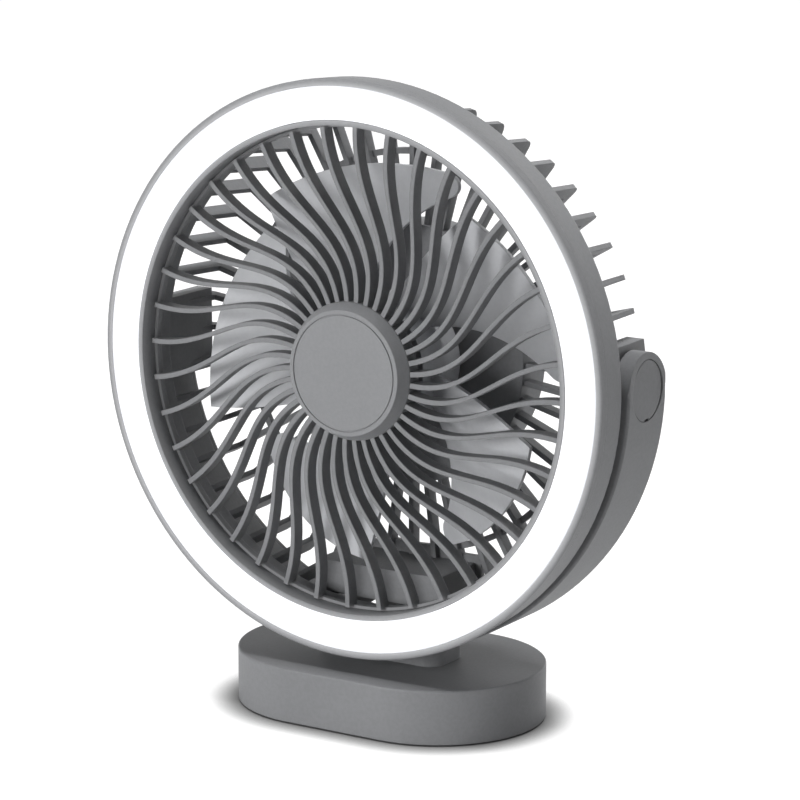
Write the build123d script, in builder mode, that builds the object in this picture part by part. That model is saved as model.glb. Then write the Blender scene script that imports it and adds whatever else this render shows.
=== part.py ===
from build123d import *
from math import asin, cos, degrees, pi, radians, sin, sqrt, tan
import os

os.makedirs("parts", exist_ok=True)

# Rechargeable fan with a ring light. Millimetres, +Z up, the fan blows towards -Y.
# The origin is on the table under the middle of the base. In the head, "forward" is the
# distance ahead of the tilt axis and "radius" is the distance from the fan's own axis.

# Clearances
drop_in_gap = 0.15
screw_gap = 0.1
pivot_gap = 0.05
shaft_gap = 0.03
button_gap = 0.3

# Base
base_length = 105.0
base_width = 70.0
base_top = 18.0
base_wall = 2.0
base_roof = 2.4
base_edge_radius = 0.6
plate_thickness = 2.0
foot_radius = 6.0
foot_thickness = 1.4
foot_proud = 0.6
foot_angle = 64.0
foot_inset = 10.0
boss_radius = 3.2
boss_inset = 4.6
boss_angle = 40.0
base_screw_radius = 1.1
base_screw_head = 2.3
base_screw_length = 9.0

# Battery and charging
battery_overhang = 15.5
battery_front_room = 8.0
battery_back_room = 22.0
battery_head_room = 2.8
battery_pad_margin = 4.0
battery_pad_thickness = 0.8
battery_corner = 2.5
charge_board_overhang = 5.5
charge_board_width = 13.0
charge_board_thickness = 1.6
charge_board_room = 0.6
charge_board_height = 6.2
charge_post_radius = 2.4
charge_post_inset = 4.0
small_screw_radius = 0.8
small_screw_head = 1.6
small_screw_head_height = 1.0
small_screw_length = 4.0
socket_width = 9.0
socket_height = 3.3
socket_depth = 7.2
socket_wall = 0.35
port_width = 12.6
port_height = 6.8

# Head, from the light's outer edge inwards and outwards
light_outer_radius = 89.35
light_width = 10.4
light_recess = 0.2
outer_lip_width = 2.25
inner_lip_width = 1.75
lip_depth = 3.2
lip_chamfer = 0.5
bezel_web_depth = 6.8
bezel_web = 1.5
bezel_wall = 1.7
diffuser_thickness = 1.8
diffuser_skirt = 1.2
light_board_thickness = 1.2
light_board_margin = 0.4
chip_count = 60
chip_length = 3.0
chip_width = 1.8
chip_height = 0.8
ring_depth = 13.7
ring_taper = 0.65
ring_wall = 1.6
ring_edge_radius = 1.0
tunnel_overhang = 1.3

# Front grille
rib_count = 40
rib_phase = 7.86
rib_root_sink = 1.0
rib_root_half = 0.82
rib_tip_half = 0.8
rib_tip_angle = 22.43
rib_tip_lean = -0.6
rib_bend = 0.452
rib_root_depth = 4.1
rib_tip_depth = 4.5
rib_thickness = 4.4
grille_rim = 1.0
grille_rim_thickness = 2.4
hub_radius = 22.0
hub_bevel = 2.1
hub_wall = 2.2
hub_groove_inset = 1.5
hub_groove_width = 0.4
hub_groove_depth = 0.3

# Rear guard
guard_rib_count = 48
guard_rib_half = 0.85
guard_step = 5.65
guard_taper = 2.6
guard_bar_width = 4.6
guard_bar_depth = 4.0
guard_corner_radius = 3.0
guard_flange_thickness = 1.6
guard_flange_margin = 0.4
hoop_inset = 17.5
hoop_width = 2.0
pod_radius = 42.0
pod_wall = 1.8
pod_floor = 2.0
pod_depth = 8.0
pod_cover_thickness = 2.0
pod_cover_corner = 1.6
guard_screw_count = 8
guard_screw_slot = 2.5
guard_screw_radius = 1.1
guard_screw_head = 2.2
guard_screw_head_height = 1.4
guard_screw_bite = 2.6
screw_post_wall = 1.5
pod_screw_count = 3
pod_screw_inset = 6.0
pod_boss_radius = 2.8

# Motor and impeller
motor_radius = 15.0
motor_length = 17.0
motor_wall = 1.2
motor_cap_thickness = 3.0
motor_screw_inset = 4.5
magnet_thickness = 2.6
magnet_front_gap = 2.65
rotor_air_gap = 0.55
rotor_back_gap = 0.6
rotor_front_gap = 1.3
shaft_radius = 1.5
shaft_hole_gap = 0.5
bearing_radius = 3.5
bearing_width = 2.5
impeller_tip_gap = 14.6
impeller_hub_radius = 21.0
impeller_hub_wall = 2.2
impeller_hub_depth = 13.4
impeller_back_gap = 3.6
impeller_boss_radius = 4.0
impeller_boss_length = 6.0
impeller_boss_gap = 0.4
blade_count = 5
blade_phase = 37.0
blade_thickness = 1.6
blade_root_pitch = 36.0
blade_tip_pitch = 15.0
blade_camber = 1.6
blade_set_back = 7.6
blade_sweep = 24.0
blade_front_root_angle = 38.2
blade_front_waist_angle = 24.5
blade_front_tip_angle = 17.5
blade_rear_root_angle = 2.1
blade_rear_waist_angle = -22.3
blade_rear_tip_angle = -47.9
blade_front_corner = 8.0
blade_rear_corner = 4.3
blade_trim = 3.175

# Yoke
yoke_clearance = 2.0
yoke_thickness = 5.4
yoke_width = 23.8
yoke_ring_gap = 2.4
yoke_wall = 1.6
yoke_edge_radius = 0.8
yoke_cover_thickness = 1.5
yoke_pocket_top = 15.0
neck_rise = 4.6
neck_length = 46.0
neck_width = 19.0
neck_corner = 6.0
neck_overlap = 4.5
yoke_screw_spread = 15.0
yoke_screw_radius = 1.4
yoke_screw_head = 2.8
yoke_screw_head_height = 1.6
yoke_screw_bite = 6.0

# Pivots
pin_radius = 4.0
pin_wall = 1.4
pin_flange_width = 2.0
pin_flange_thickness = 0.6
pin_flange_room = 0.6
pin_grip = 4.3
arm_web = 1.5
cap_overlap = 2.9
cap_thickness = 0.8
cap_sink = 0.4
cap_edge = 0.3
pry_notch_width = 2.4
pry_notch_depth = 0.8
washer_margin = 0.3
washer_thickness = 0.75
pivot_boss_wall = 3.5
pivot_boss_room = 1.0
block_half_height = 13.3
block_inset = 0.95
block_wall = 1.0

# Control box at the bottom of the guard
control_width = 46.0
control_inset = 4.4
control_front_depth = 20.0
control_wall = 1.5
panel_thickness = 2.0
panel_margin = 2.4
control_board_thickness = 1.2
button_length = 12.0
button_height = 5.4
button_proud = 1.4
button_travel = 0.8
button_flange = 0.7
button_flange_room = 0.1
button_flange_thickness = 1.0
button_edge = 0.4
switch_size = 4.4
switch_body_height = 1.6
switch_stem_radius = 1.1
lens_count = 3
lens_radius = 0.9
lens_pitch = 3.2
lens_length = 4.0
lens_button_gap = 0.9

# Supply cable
cable_radius = 0.7
cable_room = 0.5
cable_turn = 2.2
cable_lane_end_angle = -11.0
cable_slot_lap = 1.0

# Radii of the head that follow from the light ring
lip_radius = light_outer_radius + outer_lip_width
light_inner_radius = light_outer_radius - light_width
tunnel_radius = light_inner_radius - inner_lip_width
ring_back_radius = lip_radius - ring_taper
guard_front_radius = light_inner_radius + guard_step
guard_shoulder_radius = guard_front_radius - guard_taper
hoop_radius = guard_shoulder_radius - hoop_inset
impeller_radius = tunnel_radius - impeller_tip_gap
block_inner = light_inner_radius - block_inset

# The yoke clears the guard, stands on the base and sets the tilt axis
yoke_half = yoke_width / 2
yoke_inner_radius = guard_front_radius + yoke_clearance
yoke_outer_radius = yoke_inner_radius + yoke_thickness
pivot_height = base_top + neck_rise + yoke_outer_radius
front_reach = yoke_half + yoke_ring_gap + ring_depth

# Radii round the pivots
pin_bore = pin_radius - pin_wall
pin_flange_radius = pin_radius + pin_flange_width
pin_recess_radius = pin_flange_radius + pin_flange_room
pivot_boss_radius = pin_radius + pivot_boss_wall
washer_radius = pivot_boss_radius - washer_margin
cap_radius = pin_recess_radius + cap_overlap

# Hub of the grille, control box and its buttons
rib_root_radius = hub_radius - rib_root_sink
hub_face_radius = hub_radius - hub_bevel
hub_groove_radius = hub_face_radius - hub_groove_inset
button_rim = button_gap + button_flange
control_height = button_height + 2 * (button_rim + button_flange_room + control_wall)
control_bottom = guard_shoulder_radius - control_inset
control_top = control_bottom - control_height
lens_row_half = (lens_count - 1) * lens_pitch / 2 + lens_radius
button_spread = lens_row_half + lens_button_gap + button_rim + button_length / 2


def face_plane(forward):
    return Plane(origin=(0, -forward, pivot_height), x_dir=(1, 0, 0), z_dir=(0, -1, 0))


def side_plane(x):
    return Plane(origin=(x, 0, pivot_height), x_dir=(0, 1, 0), z_dir=(1, 0, 0))


def polar(radius, angle):
    return radius * cos(radians(angle)), radius * sin(radians(angle))


profile_plane = Plane(origin=(0, 0, pivot_height), x_dir=(1, 0, 0), z_dir=(0, 0, -1))
fan_axis = Axis((0, 0, pivot_height), (0, 1, 0))
head_plane = face_plane(0)


def pan_screw(head_radius, head_height, shank_radius, length):
    with BuildPart() as screw:
        with BuildSketch():
            Circle(head_radius)
        extrude(amount=head_height)
        with BuildSketch():
            Circle(shank_radius)
        extrude(amount=-length)
    return screw.part


def flat_screw(head_radius, shank_radius, length):
    with BuildPart() as screw:
        with BuildSketch(Plane.XZ):
            Polygon(
                (0, 0),
                (head_radius, 0),
                (shank_radius, shank_radius - head_radius),
                (shank_radius, -length),
                (0, -length),
                align=None,
            )
        revolve(axis=Axis.Z)
    return screw.part


# Levels in the base
plate_low = foot_proud
plate_top = plate_low + plate_thickness
roof_low = base_top - base_roof
end_centre = (base_length - base_width) / 2
battery_length = 2 * (end_centre + battery_overhang)
battery_width = base_width - battery_front_room - battery_back_room
battery_shift = (battery_front_room - battery_back_room) / 2
battery_low = plate_top + battery_pad_thickness
battery_height = roof_low - battery_low - battery_head_room
charge_board_length = 2 * (end_centre + charge_board_overhang)
charge_board_top = charge_board_height + charge_board_thickness
charge_post_spread = charge_board_length / 2 - charge_post_inset
boss_reach = base_width / 2 - boss_inset
boss_points = []
foot_points = []
for side in (-1, 1):
    for front in (-1, 1):
        boss_x, boss_y = polar(boss_reach, boss_angle)
        boss_points.append((side * (end_centre + boss_x), front * boss_y))
        foot_x, foot_y = polar(base_width / 2 - foot_inset, foot_angle)
        foot_points.append((side * (end_centre + foot_x), front * foot_y))
charge_board_back = base_width / 2 - base_wall - charge_board_room
charge_board_middle = charge_board_back - charge_board_width / 2
charge_post_y = charge_board_middle - charge_board_width / 2 + charge_post_radius
charge_post_points = [(-charge_post_spread, charge_post_y), (charge_post_spread, charge_post_y)]
port_height_level = charge_board_top + socket_height / 2
yoke_screw_points = [(-yoke_screw_spread, 0), (yoke_screw_spread, 0)]
cable_hole_radius = cable_radius + cable_room
under_plate = Plane(origin=(0, 0, plate_low), x_dir=(1, 0, 0), z_dir=(0, 0, -1))

# Base shell: a stadium-shaped tub, open below
with BuildPart() as base_shell:
    with BuildSketch(Plane.XY.offset(plate_low)):
        SlotOverall(base_length, base_width)
    extrude(amount=base_top - plate_low)
    fillet(base_shell.faces().sort_by(Axis.Z)[-1].edges(), radius=base_edge_radius)
    with BuildSketch(Plane.XY.offset(plate_low)):
        SlotOverall(base_length - 2 * base_wall, base_width - 2 * base_wall)
    extrude(amount=roof_low - plate_low, mode=Mode.SUBTRACT)
    with BuildSketch(Plane.XY.offset(plate_top)):
        with Locations(*boss_points):
            Circle(boss_radius)
    extrude(amount=roof_low - plate_top)
    with Locations(Plane(origin=(0, 0, plate_top), x_dir=(1, 0, 0), z_dir=(0, 0, -1))):
        with Locations(*boss_points):
            Hole(base_screw_radius + screw_gap, depth=base_screw_length)
    with Locations(Plane.XY.offset(base_top)):
        with Locations(*yoke_screw_points):
            Hole(yoke_screw_radius + screw_gap, depth=base_roof)
        with Locations((0, 0)):
            Hole(cable_hole_radius, depth=base_roof)
    with BuildSketch(Plane.XZ.offset(-base_width / 2)):
        with Locations((0, port_height_level)):
            SlotOverall(port_width, port_height)
    extrude(amount=base_wall, mode=Mode.SUBTRACT)
base_shell.part.label = "base_shell"
export_step(base_shell.part, "parts/base_shell.step")

# Bottom plate with foot recesses, countersunk screw holes and posts for the charge board
with BuildPart() as base_bottom_plate:
    with BuildSketch(Plane.XY.offset(plate_low)):
        SlotOverall(base_length - 2 * (base_wall + drop_in_gap), base_width - 2 * (base_wall + drop_in_gap))
    extrude(amount=plate_thickness)
    with BuildSketch(Plane.XY.offset(plate_top)):
        with Locations(*charge_post_points):
            Circle(charge_post_radius)
    extrude(amount=charge_board_height - plate_top)
    with BuildSketch(Plane.XY.offset(plate_low)):
        with Locations(*foot_points):
            Circle(foot_radius + drop_in_gap)
    extrude(amount=foot_thickness - foot_proud, mode=Mode.SUBTRACT)
    with Locations(under_plate):
        with Locations(*boss_points):
            CounterSinkHole(
                base_screw_radius + screw_gap,
                base_screw_head + screw_gap,
                depth=plate_thickness,
                counter_sink_angle=90,
            )
    with Locations(Plane.XY.offset(charge_board_height)):
        with Locations(*charge_post_points):
            Hole(small_screw_radius + screw_gap, depth=small_screw_length - charge_board_thickness)
base_bottom_plate.part.label = "base_bottom_plate"
export_step(base_bottom_plate.part, "parts/base_bottom_plate.step")

# Four rubber feet
with BuildPart() as rubber_feet:
    with BuildSketch():
        with Locations(*foot_points):
            Circle(foot_radius)
    extrude(amount=foot_thickness)
rubber_feet.part.label = "rubber_feet"
export_step(rubber_feet.part, "parts/rubber_feet.step")

# Countersunk screws that hold the bottom plate
base_screw = flat_screw(base_screw_head, base_screw_radius, base_screw_length)
with BuildPart() as base_screws:
    with Locations(under_plate):
        with Locations(*boss_points):
            add(base_screw)
base_screws.part.label = "base_screws"
export_step(base_screws.part, "parts/base_screws.step")

# Foam pad and pouch battery on the bottom plate
with BuildPart() as battery_pad:
    with BuildSketch(Plane.XY.offset(plate_top)):
        with Locations((0, battery_shift)):
            Rectangle(battery_length - 2 * battery_pad_margin, battery_width - 2 * battery_pad_margin)
    extrude(amount=battery_pad_thickness)
battery_pad.part.label = "battery_pad"
export_step(battery_pad.part, "parts/battery_pad.step")

with BuildPart() as battery_pack:
    with BuildSketch(Plane.XY.offset(battery_low)):
        with Locations((0, battery_shift)):
            RectangleRounded(battery_length, battery_width, battery_corner)
    extrude(amount=battery_height)
battery_pack.part.label = "battery_pack"
export_step(battery_pack.part, "parts/battery_pack.step")

# Charge board on its two posts, with its screws and the charging socket
with BuildPart() as charge_board:
    with BuildSketch(Plane.XY.offset(charge_board_height)):
        with Locations((0, charge_board_middle)):
            Rectangle(charge_board_length, charge_board_width)
        with Locations(*charge_post_points):
            Circle(small_screw_radius + screw_gap, mode=Mode.SUBTRACT)
    extrude(amount=charge_board_thickness)
charge_board.part.label = "charge_board"
export_step(charge_board.part, "parts/charge_board.step")

charge_screw = pan_screw(small_screw_head, small_screw_head_height, small_screw_radius, small_screw_length)
with BuildPart() as charge_board_screws:
    with Locations(Plane.XY.offset(charge_board_top)):
        with Locations(*charge_post_points):
            add(charge_screw)
charge_board_screws.part.label = "charge_board_screws"
export_step(charge_board_screws.part, "parts/charge_board_screws.step")

socket_plane = Plane.XZ.offset(-(base_width / 2 - base_wall))
with BuildPart() as charging_socket:
    with BuildSketch(socket_plane):
        with Locations((0, port_height_level)):
            SlotOverall(socket_width, socket_height)
    extrude(amount=socket_depth)
    with BuildSketch(socket_plane):
        with Locations((0, port_height_level)):
            SlotOverall(socket_width - 2 * socket_wall, socket_height - 2 * socket_wall)
    extrude(amount=socket_depth - 2 * socket_wall, mode=Mode.SUBTRACT)
    with BuildSketch(socket_plane.offset(2 * socket_wall)):
        with Locations((0, port_height_level)):
            Rectangle(socket_width - socket_height, socket_height / 4)
    extrude(amount=socket_depth - 2 * socket_wall)
charging_socket.part.label = "charging_socket"
export_step(charging_socket.part, "parts/charging_socket.step")

# Yoke: a strap round the lower half of the head, hollow towards the head, on a neck
pocket_radius = yoke_outer_radius - yoke_wall
cover_back_radius = yoke_inner_radius + yoke_cover_thickness
pocket_half = yoke_half - yoke_wall
arm_web_out = yoke_inner_radius + arm_web
cap_face = yoke_outer_radius - cap_sink
cap_seat = cap_face - cap_thickness
cable_slot_half = cable_radius + cable_room
neck_plane = Plane.XY.offset(base_top)

with BuildPart() as yoke:
    with BuildSketch(face_plane(-yoke_half)):
        Circle(yoke_outer_radius)
        Circle(yoke_inner_radius, mode=Mode.SUBTRACT)
    extrude(amount=yoke_width)
    fillet(yoke.edges().filter_by(GeomType.CIRCLE).group_by(SortBy.RADIUS)[-1], radius=yoke_edge_radius)
    with BuildSketch(side_plane(-yoke_outer_radius)):
        with Locations((0, -yoke_outer_radius / 2)):
            Rectangle(yoke_width, yoke_outer_radius)
        Circle(yoke_half)
    extrude(amount=2 * yoke_outer_radius, mode=Mode.INTERSECT)
    with BuildSketch(neck_plane):
        RectangleRounded(neck_length, neck_width, neck_corner)
    extrude(amount=neck_rise + neck_overlap)
    with BuildSketch(face_plane(-pocket_half)):
        Circle(pocket_radius)
        Circle(yoke_inner_radius, mode=Mode.SUBTRACT)
        with Locations((0, yoke_outer_radius - yoke_pocket_top)):
            Rectangle(2 * yoke_outer_radius, 2 * yoke_outer_radius, mode=Mode.SUBTRACT)
    extrude(amount=2 * pocket_half, mode=Mode.SUBTRACT)
    for sign in (-1, 1):
        with BuildSketch(side_plane(0)):
            Circle(pin_radius + pivot_gap)
        extrude(amount=sign * yoke_outer_radius, mode=Mode.SUBTRACT)
        with BuildSketch(side_plane(0)):
            Circle(pivot_boss_radius + pivot_boss_room)
        extrude(amount=sign * yoke_inner_radius, mode=Mode.SUBTRACT)
        with BuildSketch(side_plane(sign * arm_web_out)):
            Circle(pin_recess_radius)
        extrude(amount=sign * yoke_outer_radius, mode=Mode.SUBTRACT)
        with BuildSketch(side_plane(sign * cap_seat)):
            Circle(cap_radius + drop_in_gap)
        extrude(amount=sign * yoke_outer_radius, mode=Mode.SUBTRACT)
    with BuildSketch(face_plane(-cable_slot_half)):
        Circle(pocket_radius + cable_room)
        Circle(arm_web_out, mode=Mode.SUBTRACT)
        with Locations((yoke_outer_radius / 2, -yoke_pocket_top / 2)):
            Rectangle(yoke_outer_radius, yoke_pocket_top + cable_slot_lap, mode=Mode.INTERSECT)
    extrude(amount=2 * cable_slot_half, mode=Mode.SUBTRACT)
    with Locations(Plane(origin=(0, 0, base_top), x_dir=(1, 0, 0), z_dir=(0, 0, -1))):
        with Locations(*yoke_screw_points):
            Hole(yoke_screw_radius + screw_gap, depth=yoke_screw_bite)
        with Locations((0, 0)):
            Hole(cable_hole_radius, depth=pivot_height - pocket_radius - base_top + cable_slot_lap)
yoke.part.label = "yoke"
export_step(yoke.part, "parts/yoke.step")

# Cover strip that closes the yoke's cable channel
with BuildPart() as yoke_cover:
    with BuildSketch(face_plane(-pocket_half + drop_in_gap)):
        Circle(cover_back_radius)
        Circle(yoke_inner_radius, mode=Mode.SUBTRACT)
        with Locations((0, yoke_outer_radius - yoke_pocket_top - drop_in_gap)):
            Rectangle(2 * yoke_outer_radius, 2 * yoke_outer_radius, mode=Mode.SUBTRACT)
    extrude(amount=2 * (pocket_half - drop_in_gap))
yoke_cover.part.label = "yoke_cover"
export_step(yoke_cover.part, "parts/yoke_cover.step")

# Screws from inside the base up into the yoke's neck
yoke_screw = pan_screw(yoke_screw_head, yoke_screw_head_height, yoke_screw_radius, base_roof + yoke_screw_bite)
with BuildPart() as yoke_screws:
    with Locations(Plane(origin=(0, 0, roof_low), x_dir=(1, 0, 0), z_dir=(0, 0, -1))):
        with Locations(*yoke_screw_points):
            add(yoke_screw)
yoke_screws.part.label = "yoke_screws"
export_step(yoke_screws.part, "parts/yoke_screws.step")

# Pivot hardware, the same on both sides: cap, hollow flanged pin, friction washer
pivot_boss_face = yoke_inner_radius - washer_thickness - pivot_gap
pin_inner_end = pivot_boss_face - pin_grip
pin_flange_face = arm_web_out + pivot_gap
for side, sign in (("left", -1), ("right", 1)):
    with BuildPart() as pivot_cap:
        with BuildSketch(side_plane(sign * cap_seat)):
            Circle(cap_radius)
            with Locations((0, -cap_radius)):
                Rectangle(pry_notch_width, 2 * pry_notch_depth, mode=Mode.SUBTRACT)
        extrude(amount=sign * cap_thickness)
        outer_face = pivot_cap.faces().sort_by(Axis((0, 0, 0), (sign, 0, 0)))[-1]
        chamfer(outer_face.edges().filter_by(GeomType.CIRCLE), length=cap_edge)
    pivot_cap.part.label = f"pivot_cap_{side}"
    export_step(pivot_cap.part, f"parts/pivot_cap_{side}.step")

    with BuildPart() as pivot_pin:
        with BuildSketch(side_plane(sign * pin_inner_end)):
            Circle(pin_radius)
        extrude(amount=sign * (pin_flange_face - pin_inner_end))
        with BuildSketch(side_plane(sign * pin_flange_face)):
            Circle(pin_flange_radius)
        extrude(amount=sign * pin_flange_thickness)
        with BuildSketch(side_plane(sign * pin_inner_end)):
            Circle(pin_bore)
        extrude(amount=sign * yoke_outer_radius, mode=Mode.SUBTRACT)
    pivot_pin.part.label = f"pivot_pin_{side}"
    export_step(pivot_pin.part, f"parts/pivot_pin_{side}.step")

    with BuildPart() as friction_washer:
        with BuildSketch(side_plane(sign * pivot_boss_face)):
            Circle(washer_radius)
            Circle(pin_radius + drop_in_gap, mode=Mode.SUBTRACT)
        extrude(amount=sign * washer_thickness)
    friction_washer.part.label = f"friction_washer_{side}"
    export_step(friction_washer.part, f"parts/friction_washer_{side}.step")

# Levels in the head, as distances ahead of the tilt axis
ring_back = front_reach - ring_depth
tunnel_back = ring_back - tunnel_overhang
lip_back = front_reach - lip_depth
web_front = front_reach - bezel_web_depth
web_back = web_front - bezel_web
board_front = web_front + light_board_thickness
diffuser_front = front_reach - light_recess
diffuser_back = diffuser_front - diffuser_thickness
bezel_outer_wall = light_outer_radius + drop_in_gap
ring_inner_radius = ring_back_radius - ring_wall
bezel_skirt_radius = ring_inner_radius - 2 * drop_in_gap
bezel_skirt_inner = bezel_skirt_radius - bezel_wall
guard_flange_back = ring_back - guard_flange_thickness
screw_ring = (light_inner_radius + guard_front_radius) / 2
guard_screw_start = guard_screw_slot * 360 / guard_rib_count
screw_post_radius = guard_screw_radius + screw_post_wall
cable_way = block_inner + block_wall + cable_radius + cable_room

# Front bezel: outer lip, light channel, inner lip and air tunnel in one moulding
with BuildPart() as front_bezel:
    with BuildSketch(profile_plane):
        with BuildLine():
            Polyline(
                (tunnel_radius, tunnel_back),
                (light_inner_radius - drop_in_gap, tunnel_back),
                (light_inner_radius - drop_in_gap, web_back),
                (bezel_skirt_radius, web_back),
                (bezel_skirt_radius, lip_back),
                (lip_radius, lip_back),
                (lip_radius, front_reach),
                (bezel_outer_wall, front_reach),
                (bezel_outer_wall, diffuser_back - drop_in_gap),
                (bezel_skirt_inner, diffuser_back - drop_in_gap),
                (bezel_skirt_inner, web_front),
                (light_inner_radius - drop_in_gap, web_front),
                (light_inner_radius - drop_in_gap, front_reach),
                (tunnel_radius, front_reach),
                close=True,
            )
        make_face()
    revolve(axis=fan_axis)
    front_rims = front_bezel.edges().filter_by(GeomType.CIRCLE).group_by(Axis.Y)[0]
    chamfer(front_rims.group_by(SortBy.RADIUS)[-1], length=lip_chamfer)
    with BuildSketch(face_plane(ring_back + ring_wall)):
        with PolarLocations(screw_ring, guard_screw_count, start_angle=guard_screw_start):
            Circle(screw_post_radius)
    extrude(amount=web_back - ring_back - ring_wall)
    with Locations(Plane(origin=(0, -ring_back - ring_wall, pivot_height), x_dir=(1, 0, 0), z_dir=(0, 1, 0))):
        with PolarLocations(screw_ring, guard_screw_count, start_angle=-guard_screw_start):
            Hole(guard_screw_radius + screw_gap, depth=guard_screw_bite)
    with BuildSketch(face_plane(web_back)):
        with Locations((cable_way, 0)):
            Circle(cable_radius + cable_room)
    extrude(amount=bezel_web, mode=Mode.SUBTRACT)
front_bezel.part.label = "front_bezel"
export_step(front_bezel.part, "parts/front_bezel.step")

# Light board with its chips, under a diffuser that stands on the board
board_inner = light_inner_radius + light_board_margin
board_outer = bezel_skirt_inner - light_board_margin
with BuildPart() as light_board:
    with BuildSketch(face_plane(web_front)):
        Circle(board_outer)
        Circle(board_inner, mode=Mode.SUBTRACT)
    extrude(amount=light_board_thickness)
light_board.part.label = "light_board"
export_step(light_board.part, "parts/light_board.step")

with BuildPart() as light_chips:
    with BuildSketch(face_plane(board_front)):
        with PolarLocations((board_inner + board_outer) / 2, chip_count):
            Rectangle(chip_width, chip_length)
    extrude(amount=chip_height)
light_chips.part.label = "light_chips"
export_step(light_chips.part, "parts/light_chips.step")

with BuildPart() as light_diffuser:
    with BuildSketch(profile_plane):
        with BuildLine():
            Polyline(
                (light_inner_radius, diffuser_front),
                (light_outer_radius, diffuser_front),
                (light_outer_radius, diffuser_back),
                (board_outer, diffuser_back),
                (board_outer, board_front),
                (board_outer - diffuser_skirt, board_front),
                (board_outer - diffuser_skirt, diffuser_back),
                (board_inner + diffuser_skirt, diffuser_back),
                (board_inner + diffuser_skirt, board_front),
                (board_inner, board_front),
                (board_inner, diffuser_back),
                (light_inner_radius, diffuser_back),
                close=True,
            )
        make_face()
    revolve(axis=fan_axis)
light_diffuser.part.label = "light_diffuser"
export_step(light_diffuser.part, "parts/light_diffuser.step")

# Ring housing: the side wall of the head and its back
with BuildPart() as ring_housing:
    with BuildSketch(profile_plane):
        with BuildLine():
            Polyline(
                (light_inner_radius, ring_back),
                (ring_back_radius, ring_back),
                (lip_radius, lip_back),
                (ring_inner_radius, lip_back),
                (ring_inner_radius, ring_back + ring_wall),
                (light_inner_radius, ring_back + ring_wall),
                close=True,
            )
        make_face()
    revolve(axis=fan_axis)
    back_rims = ring_housing.edges().filter_by(GeomType.CIRCLE).group_by(Axis.Y)[-1]
    fillet(back_rims.group_by(SortBy.RADIUS)[-1], radius=ring_edge_radius)
    with Locations(Plane(origin=(0, -ring_back, pivot_height), x_dir=(1, 0, 0), z_dir=(0, 1, 0))):
        with PolarLocations(screw_ring, guard_screw_count, start_angle=-guard_screw_start):
            Hole(guard_screw_radius + screw_gap, depth=ring_wall)
        with Locations((cable_way, 0)):
            Hole(cable_hole_radius, depth=ring_wall)
ring_housing.part.label = "ring_housing"
export_step(ring_housing.part, "parts/ring_housing.step")

# Front grille: S-shaped ribs between a hub ring and a thin rim that snaps into the tunnel
grille_rim_radius = tunnel_radius - drop_in_gap
rib_tip_radius = grille_rim_radius - grille_rim / 2
rib_root_front = front_reach - rib_root_depth
rib_tip_front = front_reach - rib_tip_depth
grille_back = rib_tip_front - rib_thickness
rib_reach = rib_tip_radius - rib_root_radius


def rib_edge(offset_sign):
    root = Vector(rib_root_radius, offset_sign * rib_root_half)
    tip_x, tip_y = polar(rib_tip_radius, rib_tip_angle)
    nudge_x, nudge_y = polar(offset_sign * rib_tip_half, rib_tip_angle + 90)
    tip = Vector(tip_x + nudge_x, tip_y + nudge_y)
    lean_x, lean_y = polar(rib_reach * rib_bend, rib_tip_angle + rib_tip_lean)
    return [root, root + Vector(rib_reach * rib_bend, 0), tip - Vector(lean_x, lean_y), tip]


with BuildSketch() as grille_rib:
    with BuildLine():
        lower_edge = Bezier(*rib_edge(-1))
        upper_edge = Bezier(*rib_edge(1))
        Line(lower_edge @ 0, upper_edge @ 0)
        Line(lower_edge @ 1, upper_edge @ 1)
    make_face()

with BuildPart() as front_grille:
    with BuildSketch(face_plane(grille_back)):
        with PolarLocations(0, rib_count, start_angle=rib_phase - rib_tip_angle):
            add(grille_rib.sketch)
        Circle(hub_radius)
    extrude(amount=rib_root_front - grille_back)
    with BuildSketch(face_plane(grille_back)):
        Circle(grille_rim_radius)
        Circle(grille_rim_radius - grille_rim, mode=Mode.SUBTRACT)
    extrude(amount=grille_rim_thickness)
    with BuildSketch(profile_plane):
        with BuildLine():
            Polyline(
                (0, grille_back),
                (grille_rim_radius, grille_back),
                (grille_rim_radius, rib_tip_front),
                (hub_radius, rib_root_front),
                (0, rib_root_front),
                close=True,
            )
        make_face()
    revolve(axis=fan_axis, mode=Mode.INTERSECT)
    with BuildSketch(face_plane(grille_back)):
        Circle(hub_radius - hub_wall)
    extrude(amount=rib_root_front - grille_back - hub_wall, mode=Mode.SUBTRACT)
front_grille.part.label = "front_grille"
export_step(front_grille.part, "parts/front_grille.step")

# Hub cap: a bare bevelled disc with a fine groove, seated on the hub
with BuildPart() as hub_cap:
    with BuildSketch(profile_plane):
        with BuildLine():
            Polyline(
                (0, rib_root_front),
                (hub_radius, rib_root_front),
                (hub_face_radius, front_reach),
                (0, front_reach),
                close=True,
            )
        make_face()
    revolve(axis=fan_axis)
    with BuildSketch(face_plane(front_reach)):
        Circle(hub_groove_radius + hub_groove_width / 2)
        Circle(hub_groove_radius - hub_groove_width / 2, mode=Mode.SUBTRACT)
    extrude(amount=-hub_groove_depth, mode=Mode.SUBTRACT)
hub_cap.part.label = "hub_cap"
export_step(hub_cap.part, "parts/hub_cap.step")

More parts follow.
